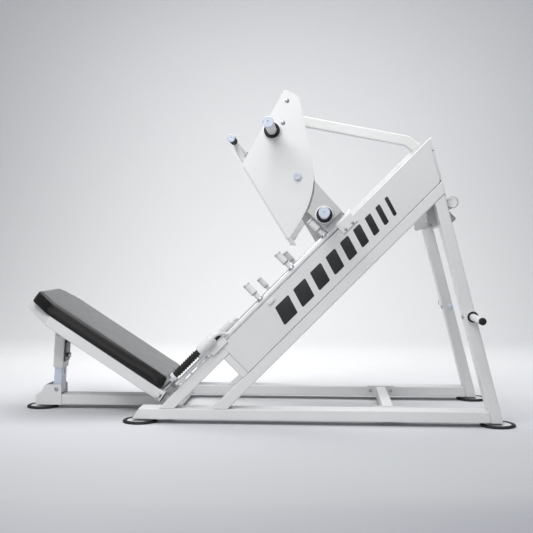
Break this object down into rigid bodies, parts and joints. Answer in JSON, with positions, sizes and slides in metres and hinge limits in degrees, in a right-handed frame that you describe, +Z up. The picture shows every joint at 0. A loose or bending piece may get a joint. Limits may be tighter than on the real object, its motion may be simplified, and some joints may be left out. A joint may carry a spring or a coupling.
{
  "type": "leg press machine",
  "caption": "Plate-loaded 45 degree leg press: a foot sled with weight horns on inclined guide shafts, swinging stop rods, and a reclining padded back rest on a telescopic prop.",
  "frame": {"origin": "Middle of the footprint at floor level: the centre of the bounding box's underside.", "axes": "+X runs from the head end of the back rest to the rear legs, +Y is the user's left when lying on the pad, +Z is up."},
  "size_m": [2.313, 1.33, 1.4847],
  "materials": {
    "frame_paint": "satin white powder coat, faintly textured",
    "panel_paint": "satin white powder coat on sheet, with a plain dark slanted stripe graphic",
    "sled_paint": "satin light grey powder coat",
    "shaft_chrome": "ground and chromed steel shaft",
    "zinc_steel": "zinc plated steel, lightly brushed",
    "prop_paint": "pale blue grey zinc and lacquer on the sliding tube",
    "cap_plastic": "pale blue grey moulded caps",
    "black_plastic": "black moulded plastic, fine grain",
    "black_rubber": "matte black rubber",
    "pad_vinyl": "black upholstery vinyl with a fine grain and sewn edge seams"
  },
  "bodies": {
    "frame": {"base_rail_right": "frame_paint", "base_rail_left": "frame_paint", "rear_leg_right": "frame_paint", "rear_leg_left": "frame_paint", "beam_lower_right": "frame_paint", "beam_lower_left": "frame_paint", "beam_upper_right": "frame_paint", "beam_upper_left": "frame_paint", "beam_brace_right": "frame_paint", "beam_brace_left": "frame_paint", "side_panel_right": "panel_paint", "side_panel_left": "panel_paint", "guide_rail_right": "shaft_chrome", "guide_rail_left": "shaft_chrome", "rod_bracket_lower_right": "frame_paint", "rod_bracket_lower_left": "frame_paint", "rod_bracket_upper_right": "frame_paint", "rod_bracket_upper_left": "frame_paint", "storage_horn_right": "frame_paint", "storage_horn_left": "frame_paint", "foot_rail_right": "black_rubber", "foot_rail_left": "black_rubber", "foot_leg_right": "black_rubber", "foot_leg_left": "black_rubber", "foot_front": "black_rubber", "base_spine": "frame_paint", "front_cross_tube": "frame_paint", "middle_cross_tube": "frame_paint", "rear_round_tube": "frame_paint", "rear_square_tube": "frame_paint", "prop_bracket": "frame_paint", "bench_hinge_pin": "zinc_steel"},
    "sled": {"sled_side_plate_right": "sled_paint", "sled_side_plate_left": "sled_paint", "horn_bracket_right": "sled_paint", "horn_bracket_left": "sled_paint", "bearing_housing_right": "zinc_steel", "bearing_housing_left": "zinc_steel", "upper_horn_right": "zinc_steel", "upper_horn_left": "zinc_steel", "lower_horn_right": "zinc_steel", "lower_horn_left": "zinc_steel", "push_bar_grip_right": "black_rubber", "push_bar_grip_left": "black_rubber", "foot_plate": "sled_paint", "push_bar": "sled_paint", "rear_brace": "sled_paint", "rear_carriage": "sled_paint", "sled_cross_shaft": "zinc_steel"},
    "stops_right": {"stop_rod_right": "zinc_steel", "stop_grip_right": "black_rubber"},
    "stops_left": {"stop_rod_left": "zinc_steel", "stop_grip_left": "black_rubber"},
    "backrest": {"bench_frame": "frame_paint", "bench_hip_tube": "frame_paint", "prop_saddle": "frame_paint", "back_pad": "pad_vinyl"},
    "prop_lower": {"prop_inner": "prop_paint"},
    "prop_upper": {"prop_outer": "frame_paint"},
    "prop_pin": {"pull_pin": "zinc_steel"}
  },
  "joints": [
    {"name": "sled_slide", "type": "slide", "parent": "frame", "child": "sled", "axis": [0.7071, 0, 0.7071], "range_m": [-0.62, 0.02]},
    {"name": "stop_turn_right", "type": "hinge", "parent": "frame", "child": "stops_right", "pos_m": [0.09793, -0.4, 0.60917], "axis": [0.7071, 0, 0.7071], "range_deg": [-30, 0]},
    {"name": "stop_turn_left", "type": "hinge", "parent": "frame", "child": "stops_left", "pos_m": [0.09793, 0.4, 0.60917], "axis": [0.7071, 0, 0.7071], "range_deg": [0, 30]},
    {"name": "backrest_tilt", "type": "hinge", "parent": "frame", "child": "backrest", "pos_m": [-0.464, 0, 0.101], "axis": [0, 1, 0], "range_deg": [-9, 0]},
    {"name": "prop_swing", "type": "hinge", "parent": "frame", "child": "prop_lower", "pos_m": [-0.995, 0, 0.096], "axis": [0, 1, 0], "range_deg": [-9, 0]},
    {"name": "prop_extend", "type": "slide", "parent": "prop_lower", "child": "prop_upper", "axis": [0.0627, 0, 0.998], "range_m": [-0.084, 0]},
    {"name": "pin_pull", "type": "slide", "parent": "prop_upper", "child": "prop_pin", "axis": [0.998, 0, -0.0627], "range_m": [0, 0.012], "stiffness_N_per_m": 500, "springref_m": -0.01}
  ],
  "couplings": [
    {"joint": "prop_swing", "follows": "backrest_tilt", "ratio": 0.988},
    {"joint": "prop_extend", "follows": "backrest_tilt", "m_per_rad": 0.5303}
  ]
}
